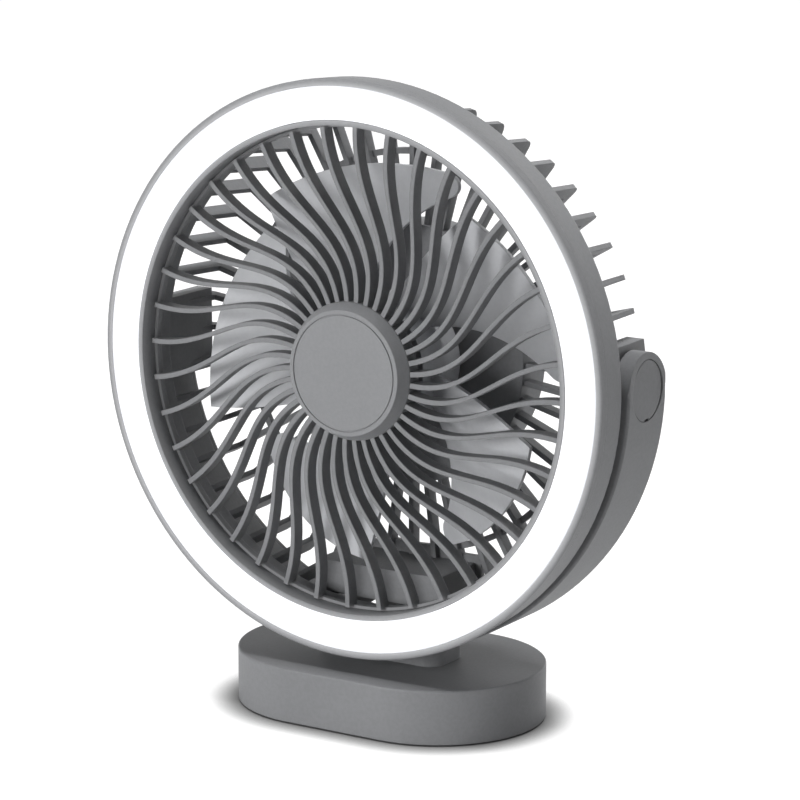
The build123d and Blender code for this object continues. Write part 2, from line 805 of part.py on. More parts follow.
# Rear guard: ribs that turn over a shoulder, a hoop, the motor pod, pivot blocks and panel.
# It is shaped as one, then parted into the motor pod, the side cage and the rear grille.
impeller_front = front_reach - impeller_hub_depth
impeller_cup_front = impeller_front - impeller_hub_wall
motor_front = impeller_cup_front - impeller_boss_length - impeller_boss_gap
motor_back = motor_front - motor_length
bar_front = motor_back - pod_floor / 2
guard_back = bar_front - guard_bar_depth
guard_flange_radius = guard_front_radius + guard_flange_margin
guard_inner_front = guard_front_radius - guard_bar_width
guard_inner_shoulder = guard_shoulder_radius - guard_bar_width
pod_back = guard_back - pod_depth
pod_screw_ring = pod_radius - pod_screw_inset
motor_screw_ring = motor_radius - motor_screw_inset
pod_floor_back = motor_back - pod_floor
panel_front = guard_back + panel_thickness
control_front = front_reach - control_front_depth
panel_half = control_width / 2 + panel_margin
control_middle = -(control_top + control_bottom) / 2
button_points = [(-button_spread, control_middle), (button_spread, control_middle)]

with BuildPart() as guard_rib:
    with BuildSketch(Plane.XZ):
        with BuildLine():
            FilletPolyline(
                (guard_front_radius, guard_flange_back),
                (guard_shoulder_radius, guard_back),
                (pod_radius - pod_wall / 2, guard_back),
                radius=guard_corner_radius,
            )
            Polyline(
                (pod_radius - pod_wall / 2, guard_back),
                (pod_radius - pod_wall / 2, bar_front),
                (guard_inner_shoulder, bar_front),
                (guard_inner_front, guard_flange_back),
                (guard_front_radius, guard_flange_back),
            )
        make_face()
    extrude(amount=guard_rib_half, both=True)

with BuildPart() as whole_guard:
    with Locations(head_plane):
        with PolarLocations(0, guard_rib_count):
            add(guard_rib.part)
    with BuildSketch(face_plane(guard_flange_back)):
        Circle(guard_flange_radius)
        Circle(light_inner_radius, mode=Mode.SUBTRACT)
    extrude(amount=guard_flange_thickness)
    with BuildSketch(face_plane(guard_back)):
        Circle(hoop_radius + hoop_width / 2)
        Circle(hoop_radius - hoop_width / 2, mode=Mode.SUBTRACT)
    extrude(amount=guard_bar_depth / 2)
    with BuildSketch(face_plane(pod_back)):
        Circle(pod_radius)
        Circle(pod_radius - pod_wall, mode=Mode.SUBTRACT)
    extrude(amount=motor_back - pod_back)
    with BuildSketch(face_plane(pod_floor_back)):
        Circle(pod_radius)
    extrude(amount=pod_floor)
    with BuildSketch(face_plane(pod_back)):
        with PolarLocations(pod_screw_ring, pod_screw_count, start_angle=90):
            Circle(pod_boss_radius)
    extrude(amount=pod_floor_back - pod_back)
    with BuildSketch(face_plane(bar_front)):
        Rectangle(2 * guard_flange_radius, 2 * block_half_height)
        Circle(guard_flange_radius, mode=Mode.INTERSECT)
        Rectangle(2 * block_inner, 2 * block_half_height, mode=Mode.SUBTRACT)
    extrude(amount=guard_flange_back - bar_front)
    with BuildSketch(face_plane(guard_back)):
        with Locations((0, -(control_top + guard_shoulder_radius - guard_corner_radius) / 2 + panel_margin / 2)):
            Rectangle(2 * panel_half, guard_shoulder_radius - guard_corner_radius - control_top + panel_margin)
    extrude(amount=panel_thickness)
    with BuildSketch(face_plane(panel_front)):
        with Locations((0, control_middle)):
            Rectangle(control_width + 2 * drop_in_gap, control_height + 2 * drop_in_gap)
    extrude(amount=control_front - panel_front + drop_in_gap, mode=Mode.SUBTRACT)
    for sign in (-1, 1):
        with BuildSketch(side_plane(sign * block_inner)):
            Circle(pivot_boss_radius)
        extrude(amount=sign * (pivot_boss_face - block_inner))
        with BuildSketch(side_plane(sign * pin_inner_end)):
            Circle(pin_radius + screw_gap / 2)
        extrude(amount=sign * yoke_outer_radius, mode=Mode.SUBTRACT)
        with BuildSketch(side_plane(sign * (cable_way - cable_radius - cable_room))):
            Circle(pin_bore)
        extrude(amount=sign * yoke_outer_radius, mode=Mode.SUBTRACT)
    with BuildSketch(face_plane(-pin_bore)):
        with Locations((cable_way, 0)):
            Circle(cable_radius + cable_room)
    extrude(amount=ring_back + pin_bore, mode=Mode.SUBTRACT)
    with BuildSketch(face_plane(guard_back)):
        with Locations(*button_points):
            SlotOverall(button_length + 2 * button_gap, button_height + 2 * button_gap)
        with Locations((0, control_middle)):
            with GridLocations(lens_pitch, 0, lens_count, 1):
                Circle(lens_radius + drop_in_gap)
    extrude(amount=panel_thickness, mode=Mode.SUBTRACT)
    with Locations(Plane(origin=(0, -pod_back, pivot_height), x_dir=(1, 0, 0), z_dir=(0, 1, 0))):
        with PolarLocations(pod_screw_ring, pod_screw_count, start_angle=-90):
            Hole(guard_screw_radius + screw_gap, depth=pod_depth - pod_floor)
    with Locations(Plane(origin=(0, -guard_flange_back, pivot_height), x_dir=(1, 0, 0), z_dir=(0, 1, 0))):
        with PolarLocations(screw_ring, guard_screw_count, start_angle=-guard_screw_start):
            Hole(guard_screw_radius + screw_gap, depth=guard_flange_thickness)
    with Locations(Plane(origin=(0, -pod_floor_back, pivot_height), x_dir=(1, 0, 0), z_dir=(0, 1, 0))):
        with PolarLocations(motor_screw_ring, pod_screw_count, start_angle=-90):
            Hole(guard_screw_radius + screw_gap, depth=pod_floor)

with BuildPart() as motor_pod:
    add(whole_guard.part)
    with BuildSketch(face_plane(pod_back)):
        Circle(pod_radius)
    extrude(amount=motor_back - pod_back, mode=Mode.INTERSECT)
motor_pod.part.label = "motor_pod"
export_step(motor_pod.part, "parts/motor_pod.step")

with BuildPart() as guard_side:
    add(whole_guard.part)
    with BuildSketch(face_plane(bar_front)):
        Circle(yoke_outer_radius)
        Circle(pod_radius, mode=Mode.SUBTRACT)
    extrude(amount=ring_back - bar_front, mode=Mode.INTERSECT)
guard_side.part.label = "guard_side"
export_step(guard_side.part, "parts/guard_side.step")

with BuildPart() as guard_rear:
    add(whole_guard.part)
    with BuildSketch(face_plane(guard_back)):
        Circle(yoke_outer_radius)
        Circle(pod_radius, mode=Mode.SUBTRACT)
    extrude(amount=bar_front - guard_back, mode=Mode.INTERSECT)
guard_rear.part.label = "guard_rear"
export_step(guard_rear.part, "parts/guard_rear.step")

# Screws through the guard's flange and the ring housing into the bezel
behind_flange = Plane(origin=(0, -guard_flange_back, pivot_height), x_dir=(1, 0, 0), z_dir=(0, 1, 0))
guard_screw_length = guard_flange_thickness + ring_wall + guard_screw_bite - drop_in_gap
guard_screw = pan_screw(guard_screw_head, guard_screw_head_height, guard_screw_radius, guard_screw_length)
with BuildPart() as guard_screws:
    with Locations(behind_flange):
        with PolarLocations(screw_ring, guard_screw_count, start_angle=-guard_screw_start):
            add(guard_screw)
guard_screws.part.label = "guard_screws"
export_step(guard_screws.part, "parts/guard_screws.step")

# Pod cover with its countersunk screws
pod_cover_back = pod_back - pod_cover_thickness
behind_pod = Plane(origin=(0, -pod_cover_back, pivot_height), x_dir=(1, 0, 0), z_dir=(0, 1, 0))
with BuildPart() as pod_cover:
    with BuildSketch(face_plane(pod_cover_back)):
        Circle(pod_radius)
    extrude(amount=pod_cover_thickness)
    fillet(pod_cover.edges().filter_by(GeomType.CIRCLE).group_by(Axis.Y)[-1], radius=pod_cover_corner)
    with Locations(behind_pod):
        with PolarLocations(pod_screw_ring, pod_screw_count, start_angle=-90):
            CounterSinkHole(
                guard_screw_radius + screw_gap,
                guard_screw_head + screw_gap,
                depth=pod_cover_thickness,
                counter_sink_angle=90,
            )
pod_cover.part.label = "pod_cover"
export_step(pod_cover.part, "parts/pod_cover.step")

pod_screw = flat_screw(guard_screw_head, guard_screw_radius, pod_cover_thickness + pod_depth / 2)
with BuildPart() as pod_screws:
    with Locations(behind_pod):
        with PolarLocations(pod_screw_ring, pod_screw_count, start_angle=-90):
            add(pod_screw)
pod_screws.part.label = "pod_screws"
export_step(pod_screws.part, "parts/pod_screws.step")

# Motor: end cap on the pod floor, can, magnet ring and two bearings
motor_cap_front = motor_back + motor_cap_thickness
bearing_pocket = bearing_radius + screw_gap / 2
shaft_hole = shaft_radius + shaft_hole_gap
rear_bearing_back = motor_cap_front - bearing_width
front_bearing_front = motor_front - motor_wall / 2
front_bearing_back = front_bearing_front - bearing_width
magnet_outer = motor_radius - motor_wall - screw_gap / 2
magnet_inner = magnet_outer - magnet_thickness
magnet_back = motor_cap_front + drop_in_gap
magnet_length = motor_front - motor_wall - magnet_front_gap - magnet_back
rotor_radius = magnet_inner - rotor_air_gap
rotor_back = motor_cap_front + rotor_back_gap
rotor_length = front_bearing_back - rotor_front_gap - rotor_back
shaft_front = impeller_front - impeller_hub_wall / 2

with BuildPart() as motor_end_cap:
    with BuildSketch(face_plane(motor_back)):
        Circle(motor_radius)
        with PolarLocations(motor_screw_ring, pod_screw_count, start_angle=90):
            Circle(guard_screw_radius + screw_gap, mode=Mode.SUBTRACT)
    extrude(amount=motor_cap_thickness)
    with BuildSketch(face_plane(rear_bearing_back)):
        Circle(bearing_pocket)
    extrude(amount=bearing_width, mode=Mode.SUBTRACT)
motor_end_cap.part.label = "motor_end_cap"
export_step(motor_end_cap.part, "parts/motor_end_cap.step")

with BuildPart() as motor_can:
    with BuildSketch(profile_plane):
        with BuildLine():
            Polyline(
                (motor_radius, motor_cap_front),
                (motor_radius, motor_front),
                (shaft_hole, motor_front),
                (shaft_hole, front_bearing_front),
                (bearing_pocket, front_bearing_front),
                (bearing_pocket, front_bearing_back),
                (bearing_pocket + motor_wall, front_bearing_back),
                (bearing_pocket + motor_wall, motor_front - motor_wall),
                (motor_radius - motor_wall, motor_front - motor_wall),
                (motor_radius - motor_wall, motor_cap_front),
                close=True,
            )
        make_face()
    revolve(axis=fan_axis)
motor_can.part.label = "motor_can"
export_step(motor_can.part, "parts/motor_can.step")

with BuildPart() as motor_magnets:
    with BuildSketch(face_plane(magnet_back)):
        Circle(magnet_outer)
        Circle(magnet_inner, mode=Mode.SUBTRACT)
    extrude(amount=magnet_length)
motor_magnets.part.label = "motor_magnets"
export_step(motor_magnets.part, "parts/motor_magnets.step")

with BuildPart() as motor_bearings:
    for bearing_back in (rear_bearing_back, front_bearing_back):
        with BuildSketch(face_plane(bearing_back)):
            Circle(bearing_radius)
            Circle(shaft_radius + shaft_gap, mode=Mode.SUBTRACT)
        extrude(amount=bearing_width)
motor_bearings.part.label = "motor_bearings"
export_step(motor_bearings.part, "parts/motor_bearings.step")

motor_screw_length = pod_floor + motor_cap_thickness - drop_in_gap
motor_screw = pan_screw(guard_screw_head, guard_screw_head_height, guard_screw_radius, motor_screw_length)
with BuildPart() as motor_screws:
    with Locations(Plane(origin=(0, -pod_floor_back, pivot_height), x_dir=(1, 0, 0), z_dir=(0, 1, 0))):
        with PolarLocations(motor_screw_ring, pod_screw_count, start_angle=-90):
            add(motor_screw)
motor_screws.part.label = "motor_screws"
export_step(motor_screws.part, "parts/motor_screws.step")

# Shaft and wound rotor, which turn with the impeller
with BuildPart() as motor_shaft:
    with BuildSketch(face_plane(rear_bearing_back + drop_in_gap)):
        Circle(shaft_radius)
    extrude(amount=shaft_front - rear_bearing_back - drop_in_gap)
motor_shaft.part.label = "motor_shaft"
export_step(motor_shaft.part, "parts/motor_shaft.step")

with BuildPart() as motor_rotor:
    with BuildSketch(face_plane(rotor_back)):
        Circle(rotor_radius)
        Circle(shaft_radius + shaft_gap, mode=Mode.SUBTRACT)
    extrude(amount=rotor_length)
motor_rotor.part.label = "motor_rotor"
export_step(motor_rotor.part, "parts/motor_rotor.step")

# Impeller: broad swept blades on a cup-shaped hub, pressed on the shaft.
# Seen from the front it turns clockwise, so each blade's clockwise edge is the rear one.
impeller_back = motor_back + impeller_back_gap
impeller_hub_length = impeller_front - impeller_back
impeller_cup_radius = impeller_hub_radius - impeller_hub_wall
blade_middle = impeller_front - blade_set_back
blade_root = impeller_cup_radius / 2
blade_reach = impeller_radius + blade_trim
blade_half_height = impeller_hub_length


def blade_section(radius, half_chord, pitch, middle_angle):
    along = Vector(cos(radians(pitch)), sin(radians(pitch)))
    across = Vector(-sin(radians(pitch)), cos(radians(pitch)))
    middle = Vector(radius * tan(radians(middle_angle)), blade_middle)
    half = across * (blade_thickness / 2)
    belly = across * blade_camber
    start = middle - along * half_chord
    end = middle + along * half_chord
    station = Plane(origin=(radius, 0, 0), x_dir=(0, 1, 0), z_dir=(1, 0, 0))
    with BuildSketch(station) as section:
        with BuildLine():
            ThreePointArc(start - half, middle - belly - half, end - half)
            Line(end - half, end + half)
            ThreePointArc(end + half, middle - belly + half, start + half)
            Line(start + half, start - half)
        make_face()
    return section.sketch


blade_waist = (impeller_cup_radius + impeller_radius) / 2
waist_pitch = (blade_root_pitch + 2 * blade_tip_pitch) / 3
with BuildPart() as blade:
    add(blade_section(blade_root, impeller_hub_radius, blade_root_pitch, blade_sweep / 2))
    add(blade_section(blade_waist, impeller_radius, waist_pitch, 0))
    add(blade_section(blade_reach, blade_reach, blade_tip_pitch, -blade_sweep / 2))
    loft()
    with BuildSketch(Plane.XY.offset(blade_middle - blade_half_height)) as outline:
        with BuildLine():
            rear_root = polar(impeller_cup_radius, blade_rear_root_angle)
            rear_waist = polar(blade_waist, blade_rear_waist_angle)
            rear_tip = polar(impeller_radius, blade_rear_tip_angle)
            front_root = polar(impeller_cup_radius, blade_front_root_angle)
            front_waist = polar(blade_waist, blade_front_waist_angle)
            front_tip = polar(impeller_radius, blade_front_tip_angle)
            ThreePointArc(rear_root, rear_waist, rear_tip)
            ThreePointArc(rear_tip, (impeller_radius, 0), front_tip)
            ThreePointArc(front_tip, front_waist, front_root)
            Line(front_root, rear_root)
        make_face()
        rear_corner, front_corner = outline.vertices().sort_by_distance((0, 0, 0))[-2:].sort_by(Axis.Y)
        fillet(rear_corner, radius=blade_rear_corner)
        fillet(front_corner, radius=blade_front_corner)
    extrude(amount=2 * blade_half_height, mode=Mode.INTERSECT)

with BuildPart() as impeller:
    with BuildSketch(face_plane(impeller_back)):
        Circle(impeller_hub_radius)
    extrude(amount=impeller_hub_length)
    with Locations(head_plane):
        with PolarLocations(0, blade_count, start_angle=blade_phase):
            add(blade.part)
    with BuildSketch(face_plane(impeller_back)):
        Circle(impeller_cup_radius)
    extrude(amount=impeller_cup_front - impeller_back, mode=Mode.SUBTRACT)
    with BuildSketch(face_plane(impeller_cup_front)):
        Circle(impeller_boss_radius)
    extrude(amount=-impeller_boss_length)
    with BuildSketch(face_plane(shaft_front)):
        Circle(shaft_radius + shaft_gap)
    extrude(amount=-impeller_hub_length, mode=Mode.SUBTRACT)
impeller.part.label = "impeller"
export_step(impeller.part, "parts/impeller.step")

# Control box: a cover behind the panel, its board and the board's screws
control_floor = control_front - control_wall
flange_front = panel_front + button_flange_thickness
stem_tip = flange_front + button_travel + screw_gap / 2
switch_back = stem_tip + button_travel
board_back = switch_back + switch_body_height
board_face = board_back + control_board_thickness
control_inside = control_height - 2 * control_wall
post_spread = control_width / 2 - control_wall - charge_post_radius
post_level = pivot_height + control_middle
post_points = [(-post_spread, control_middle), (post_spread, control_middle)]
with BuildPart() as control_box_cover:
    with BuildSketch(face_plane(panel_front)):
        with Locations((0, control_middle)):
            Rectangle(control_width, control_height)
    extrude(amount=control_front - panel_front)
    with BuildSketch(face_plane(panel_front)):
        with Locations((0, control_middle)):
            Rectangle(control_width - 2 * control_wall, control_inside)
    extrude(amount=control_floor - panel_front, mode=Mode.SUBTRACT)
    with BuildSketch(face_plane(board_face)):
        with Locations(*post_points):
            Circle(charge_post_radius)
            Circle(small_screw_radius + screw_gap, mode=Mode.SUBTRACT)
    extrude(amount=control_floor - board_face)
control_box_cover.part.label = "control_box_cover"
export_step(control_box_cover.part, "parts/control_box_cover.step")

with BuildPart() as control_board:
    with BuildSketch(face_plane(board_back)):
        with Locations((0, control_middle)):
            Rectangle(
                control_width - 2 * control_wall - 2 * drop_in_gap,
                control_inside - 2 * drop_in_gap,
            )
        with Locations(*post_points):
            Circle(small_screw_radius + screw_gap, mode=Mode.SUBTRACT)
    extrude(amount=control_board_thickness)
control_board.part.label = "control_board"
export_step(control_board.part, "parts/control_board.step")

control_screw = pan_screw(small_screw_head, small_screw_head_height, small_screw_radius, small_screw_length)
with BuildPart() as control_board_screws:
    with Locations(Plane(origin=(0, -board_back, post_level), x_dir=(1, 0, 0), z_dir=(0, 1, 0))):
        with GridLocations(2 * post_spread, 0, 2, 1):
            add(control_screw)
control_board_screws.part.label = "control_board_screws"
export_step(control_board_screws.part, "parts/control_board_screws.step")

with BuildPart() as button_switches:
    with BuildSketch(face_plane(switch_back)):
        with Locations(*button_points):
            Rectangle(switch_size, switch_size)
    extrude(amount=switch_body_height)
    with BuildSketch(face_plane(stem_tip)):
        with Locations(*button_points):
            Circle(switch_stem_radius)
    extrude(amount=switch_back - stem_tip)
button_switches.part.label = "button_switches"
export_step(button_switches.part, "parts/button_switches.step")

# Push buttons, each with a flange behind the panel
button_face = guard_back - button_proud
for name, point in zip(("fan_button", "light_button"), button_points):
    with BuildPart() as button:
        with BuildSketch(face_plane(button_face)):
            with Locations(point):
                SlotOverall(button_length, button_height)
        extrude(amount=flange_front - button_face)
        fillet(button.faces().sort_by(Axis.Y)[-1].edges(), radius=button_edge)
        with BuildSketch(face_plane(panel_front)):
            with Locations(point):
                SlotOverall(
                    button_length + 2 * button_gap + 2 * button_flange,
                    button_height + 2 * button_gap + 2 * button_flange,
                )
        extrude(amount=button_flange_thickness)
    button.part.label = name
    export_step(button.part, f"parts/{name}.step")

# Charge-level lenses between the buttons
with BuildPart() as charge_lenses:
    with BuildSketch(face_plane(guard_back)):
        with Locations((0, control_middle)):
            with GridLocations(lens_pitch, 0, lens_count, 1):
                Circle(lens_radius)
    extrude(amount=lens_length)
charge_lenses.part.label = "charge_lenses"
export_step(charge_lenses.part, "parts/charge_lenses.step")

# Supply cable in the stand: from the charge board up the right arm to the tilt axis.
# A small arc leads it out of the neck on to the strap's circle, and a tangent off that circle
# leads it past the pin's flange and into the pin's bore.
cable_start_y = charge_board_middle - charge_board_width / 4
cable_roof_lane = roof_low - cable_radius - cable_room
cable_lane = cover_back_radius + cable_radius + cable_room
cable_drop = sqrt((cable_lane + cable_turn) ** 2 - cable_turn**2)
turn_end_angle = 180 - degrees(asin(cable_drop / (cable_lane + cable_turn)))
turn_middle = polar(cable_turn, (180 + turn_end_angle) / 2)
lane_start = polar(cable_lane, turn_end_angle - 180)
lane_middle = polar(cable_lane, (turn_end_angle - 180 + cable_lane_end_angle) / 2)
lane_end = polar(cable_lane, cable_lane_end_angle)
flange_out = pin_flange_face + pin_flange_thickness
cable_bay = (flange_out + cap_seat) / 2
bay_rise = (cable_bay - lane_end[0]) / tan(radians(-cable_lane_end_angle))
cable_meeting = pin_inner_end + pin_grip / 2


def in_arm(x, rise):
    return (x, 0, pivot_height + rise)


with BuildPart() as stand_cable:
    with BuildLine() as stand_route:
        FilletPolyline(
            (0, cable_start_y, charge_board_top),
            (0, cable_start_y, cable_roof_lane),
            (0, 0, cable_roof_lane),
            in_arm(0, -cable_drop),
            radius=cable_turn,
        )
        ThreePointArc(
            in_arm(0, -cable_drop),
            in_arm(cable_turn + turn_middle[0], turn_middle[1] - cable_drop),
            in_arm(*lane_start),
        )
        ThreePointArc(in_arm(*lane_start), in_arm(*lane_middle), in_arm(*lane_end))
        FilletPolyline(
            in_arm(*lane_end),
            in_arm(cable_bay, lane_end[1] + bay_rise),
            in_arm(cable_bay, 0),
            in_arm(cable_meeting, 0),
            radius=cable_turn,
        )
    with BuildSketch(Plane(origin=(0, cable_start_y, charge_board_top), z_dir=(0, 0, 1))):
        Circle(cable_radius)
    sweep(path=stand_route.wires()[0])
stand_cable.part.label = "stand_cable"
export_step(stand_cable.part, "parts/stand_cable.step")
cable_length = stand_route.wires()[0].length
print("stand cable volume ratio:", stand_cable.part.volume / (pi * cable_radius**2 * cable_length))

# Head cable: from the pin's bore forward through the pivot block to the light board
head_cable_start = cable_meeting - button_gap
with BuildPart() as head_cable:
    with BuildLine() as head_route:
        FilletPolyline(
            in_arm(head_cable_start, 0),
            in_arm(cable_way, 0),
            (cable_way, -web_front, pivot_height),
            radius=cable_turn,
        )
    with BuildSketch(Plane(origin=in_arm(head_cable_start, 0), z_dir=(-1, 0, 0))):
        Circle(cable_radius)
    sweep(path=head_route.wires()[0])
head_cable.part.label = "head_cable"
export_step(head_cable.part, "parts/head_cable.step")
cable_length = head_route.wires()[0].length
print("head cable volume ratio:", head_cable.part.volume / (pi * cable_radius**2 * cable_length))
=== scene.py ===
import bmesh
import bpy
import math
from mathutils import Matrix, Vector


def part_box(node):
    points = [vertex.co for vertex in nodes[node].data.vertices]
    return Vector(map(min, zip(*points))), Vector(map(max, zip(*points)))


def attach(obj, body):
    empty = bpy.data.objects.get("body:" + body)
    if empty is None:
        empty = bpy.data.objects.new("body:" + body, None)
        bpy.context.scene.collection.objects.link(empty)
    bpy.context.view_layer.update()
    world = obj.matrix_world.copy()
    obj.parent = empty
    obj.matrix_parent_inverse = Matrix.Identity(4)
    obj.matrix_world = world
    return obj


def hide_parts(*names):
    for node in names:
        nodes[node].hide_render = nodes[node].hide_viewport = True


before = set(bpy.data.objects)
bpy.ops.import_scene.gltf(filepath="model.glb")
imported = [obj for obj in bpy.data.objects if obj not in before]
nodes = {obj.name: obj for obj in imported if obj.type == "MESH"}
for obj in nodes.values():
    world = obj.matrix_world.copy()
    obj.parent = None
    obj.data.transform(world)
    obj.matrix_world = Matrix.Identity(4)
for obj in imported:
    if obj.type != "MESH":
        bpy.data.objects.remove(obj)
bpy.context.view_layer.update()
scene = bpy.context.scene
scene.view_settings.view_transform = "Standard"
print("frame loaded:", len(nodes), "nodes")


class Wire:  # a node's output that can take part in sums
    def __init__(self, finish, socket):
        self.finish = finish
        self.socket = socket

    def calc(self, operation, first, second):
        return self.finish.node("ShaderNodeMath", {"operation": operation}, {0: first, 1: second})

    def __add__(self, other):
        return self.calc("ADD", self, other)

    def __radd__(self, other):
        return self.calc("ADD", other, self)

    def __sub__(self, other):
        return self.calc("SUBTRACT", self, other)

    def __rsub__(self, other):
        return self.calc("SUBTRACT", other, self)

    def __mul__(self, other):
        return self.calc("MULTIPLY", self, other)

    def __rmul__(self, other):
        return self.calc("MULTIPLY", other, self)

    def __pow__(self, other):
        return self.calc("POWER", self, other)

    def __rpow__(self, other):
        return self.calc("POWER", other, self)


noiseMiddle = 0.5  # the mean of a noise


class Finish:  # a material, or the sky, and its nodes
    def __init__(self, owner):
        self.owner = owner
        owner.use_nodes = True
        self.tree = owner.node_tree
        self.tree.nodes.clear()

    def node(self, kind, settings, sockets, output=0):
        made = self.tree.nodes.new(kind)
        for key, value in settings.items():
            setattr(made, key, value)
        for key, value in sockets.items():
            if isinstance(value, Wire):
                self.tree.links.new(value.socket, made.inputs[key])
            else:
                made.inputs[key].default_value = value
        return Wire(self, made.outputs[output]) if made.outputs else None

    def place(self):  # the point on the piece, in metres
        return self.node("ShaderNodeTexCoord", {}, {}, "Object")

    def along(self, where, axis):
        return self.node("ShaderNodeSeparateXYZ", {}, {"Vector": where}, axis)

    def length(self, where):
        return self.node("ShaderNodeVectorMath", {"operation": "LENGTH"}, {0: where}, "Value")

    def stretch(self, where, factors):
        return self.node("ShaderNodeVectorMath", {"operation": "MULTIPLY"}, {0: where, 1: factors})

    def noise(self, where, scale, detail=2.0):
        return self.node("ShaderNodeTexNoise", {}, {"Vector": where, "Scale": scale, "Detail": detail})

    def waver(self, level, grain, amount):  # a level that goes up and down with the grain
        return level + (grain - noiseMiddle) * amount

    def between(self, share, first, second):  # a colour from first to second
        return self.node("ShaderNodeMix", {"data_type": "RGBA"}, {0: share, 6: first, 7: second}, 2)

    def limit(self, value, low, high):  # low to high becomes 0 to 1
        return self.node("ShaderNodeMapRange", {}, {0: value, 1: low, 2: high})

    def bump(self, height, depth, normal=None):
        sockets = {"Height": height, "Distance": depth, "Strength": 1.0}
        if normal is not None:
            sockets["Normal"] = normal
        return self.node("ShaderNodeBump", {}, sockets)

    def close(self, sockets):
        shader = self.node("ShaderNodeBsdfPrincipled", {}, sockets)
        self.node("ShaderNodeOutputMaterial", {}, {"Surface": shader})
        return self.owner


def newFinish(name):
    return Finish(bpy.data.materials.new(name))


coolTint = (0.985, 1.0, 1.035)  # the plastics are a faintly blue grey


def grey(level):
    red, green, blue = coolTint
    return (level * red, level * green, level * blue, 1.0)


# camera at the photograph's angle, worked out from the outlines of the light ring and the base
camera = {
    "azimuth": 32.53,
    "elevation": 12.41,
    "distance": 1.06429,
    "lookAt": (0.0, -0.00707, 0.1),
    "lens": 151.4,
    "sensor": 36.0,
    "shift": (0.0259, 0.0091),
    "farthest": 20.0,
}


def addCamera(spec):
    turn, rise = math.radians(spec["azimuth"]), math.radians(spec["elevation"])
    back = Vector((math.sin(turn) * math.cos(rise), -math.cos(turn) * math.cos(rise), math.sin(rise)))
    data = bpy.data.cameras.new("camera")
    data.lens = spec["lens"]
    data.sensor_width = spec["sensor"]
    data.sensor_fit = "HORIZONTAL"
    data.shift_x, data.shift_y = spec["shift"]
    data.clip_end = spec["farthest"]
    obj = bpy.data.objects.new("camera", data)
    scene.collection.objects.link(obj)
    obj.location = Vector(spec["lookAt"]) + back * spec["distance"]
    obj.rotation_euler = (-back).to_track_quat("-Z", "Y").to_euler()
    scene.camera = obj


addCamera(camera)
print("camera placed")

# soft boxes: where each stands, what it faces, how wide and how bright it is
softBoxes = {
    "front": {"at": (-0.5, -1.5, 0.34), "facing": (0.0, 0.0, 0.1), "size": 0.6, "power": 19.5},
    "right": {"at": (1.35, 0.3, 0.35), "facing": (0.0, 0.0, 0.1), "size": 0.7, "power": 3.4},
    "above": {"at": (0.05, -0.02, 1.4), "facing": (0.0, 0.0, 0.1), "size": 0.4, "power": 12.0},
    "behind": {"at": (0.02, 1.45, 0.5), "facing": (0.0, 0.0, 0.12), "size": 0.8, "power": 6.0},
}
skyLight = {"colour": (1.0, 1.0, 1.0, 1.0), "strength": 0.03}


def addSoftBox(name, spec):
    data = bpy.data.lights.new(name, "AREA")
    data.shape = "SQUARE"
    data.size = spec["size"]
    data.energy = spec["power"]
    obj = bpy.data.objects.new(name, data)
    scene.collection.objects.link(obj)
    obj.location = spec["at"]
    obj.rotation_euler = (Vector(spec["facing"]) - Vector(spec["at"])).to_track_quat("-Z", "Y").to_euler()


def seenDirectly(finish):  # 1 for what the camera sees, also in a mirror or through glass
    sight = finish.node("ShaderNodeLightPath", {}, {}, "Is Camera Ray")
    mirror = finish.node("ShaderNodeLightPath", {}, {}, "Is Glossy Ray")
    glass = finish.node("ShaderNodeLightPath", {}, {}, "Is Transmission Ray")
    return finish.limit(sight + mirror + glass, 0.0, 1.0)


def addSky(spec):
    world = bpy.data.worlds.new("sky")
    scene.world = world
    sky = Finish(world)
    seen = seenDirectly(sky)
    strength = seen + (1 - seen) * spec["strength"]
    glow = sky.node("ShaderNodeBackground", {}, {"Color": spec["colour"], "Strength": strength})
    sky.node("ShaderNodeOutputWorld", {}, {"Surface": glow})


# the floor's tone as seen and as it lights the fan, its contact shadow and its glow near and far
floor = {
    "half": 8.0, "seen": (0.22, 0.22, 0.22, 1.0), "bounce": (0.78, 0.78, 0.78, 1.0),
    "contact": 0.0105, "shadowPower": 3.5,
    "near": 0.12, "far": 0.3, "nearLift": 0.96, "farLift": 1.0,
}


def addFloor(spec):
    half = spec["half"]
    corners = [(-half, -half, 0), (half, -half, 0), (half, half, 0), (-half, half, 0)]
    mesh = bpy.data.meshes.new("floor")
    mesh.from_pydata(corners, [], [(0, 1, 2, 3)])
    obj = bpy.data.objects.new("floor", mesh)
    scene.collection.objects.link(obj)
    paper = newFinish("paperFloor")
    seen = seenDirectly(paper)
    tone = paper.between(seen, spec["bounce"], spec["seen"])
    matt = paper.node("ShaderNodeBsdfDiffuse", {}, {"Color": tone})
    away = paper.limit(paper.length(paper.place()), spec["near"], spec["far"])
    lift = spec["nearLift"] + away * (spec["farLift"] - spec["nearLift"])
    gap = paper.node("ShaderNodeAmbientOcclusion", {"samples": 12}, {"Distance": spec["contact"]}, "AO")
    paintedShadow = gap ** spec["shadowPower"]  # painted contact shadow where the base meets the floor
    glow = paper.node("ShaderNodeEmission", {}, {"Strength": seen * lift * paintedShadow})
    both = paper.node("ShaderNodeAddShader", {}, {0: matt, 1: glow})
    paper.node("ShaderNodeOutputMaterial", {}, {"Surface": both})
    mesh.materials.append(paper.owner)


for boxName, boxSpec in softBoxes.items():
    addSoftBox(boxName, boxSpec)
addSky(skyLight)
addFloor(floor)
print("lights and floor placed")


def ringRadius(finish, where, centreHeight):  # distance from the fan's middle line
    up = finish.along(where, "Z") - centreHeight
    flat = finish.node("ShaderNodeCombineXYZ", {}, {"X": finish.along(where, "X"), "Z": up})
    return finish.length(flat)


